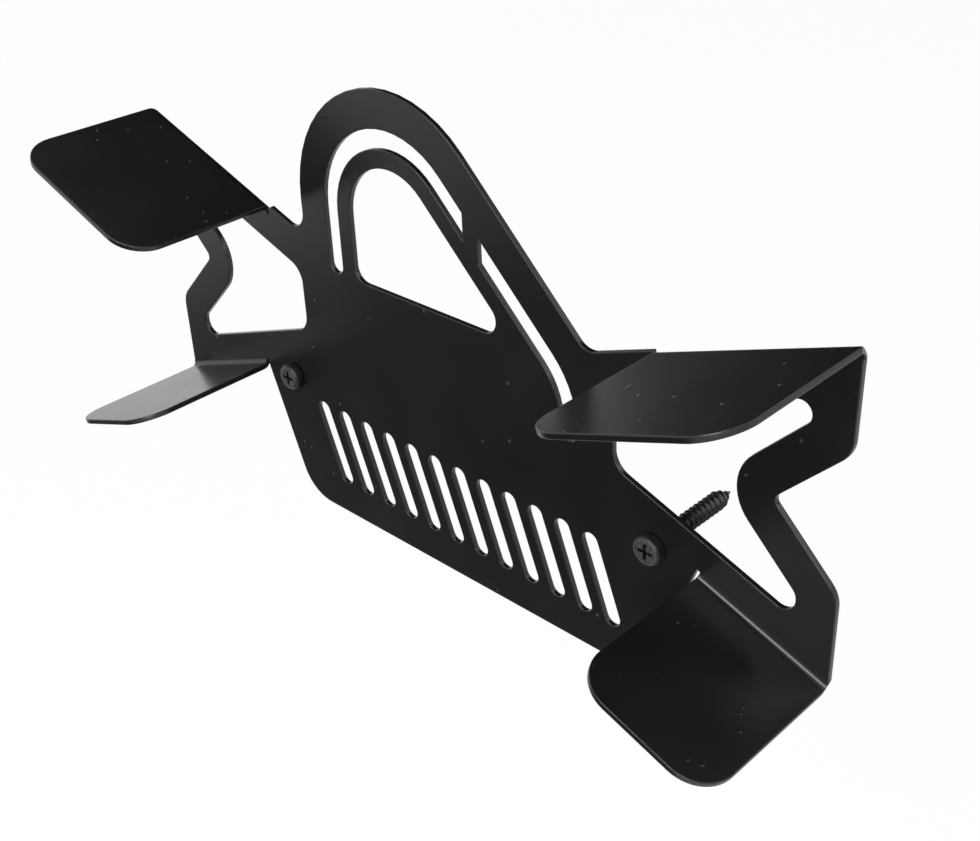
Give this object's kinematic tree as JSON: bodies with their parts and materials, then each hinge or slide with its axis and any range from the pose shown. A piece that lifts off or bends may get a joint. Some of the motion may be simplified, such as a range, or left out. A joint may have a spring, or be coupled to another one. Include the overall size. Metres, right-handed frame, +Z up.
{
  "type": "hockey stick rack",
  "caption": "Flat wall rack of black coated sheet steel with forward-bent shelves that hold two sticks crossed, a slotted ring arch on top and a slotted plate below.",
  "frame": {"origin": "on the wall face of the plate, at the height and place where the lines of the shelves cross", "axes": "+X towards the right of someone facing the rack, +Y into the wall, +Z up"},
  "size_m": [0.2362, 0.0767, 0.1345],
  "materials": {
    "coated_steel": "black satin powder coat",
    "screw_steel": "black oxide, satin"
  },
  "bodies": {
    "root": {"folded_steel_sheet": "coated_steel", "left_wall_screw": "screw_steel", "right_wall_screw": "screw_steel"}
  },
  "joints": []
}
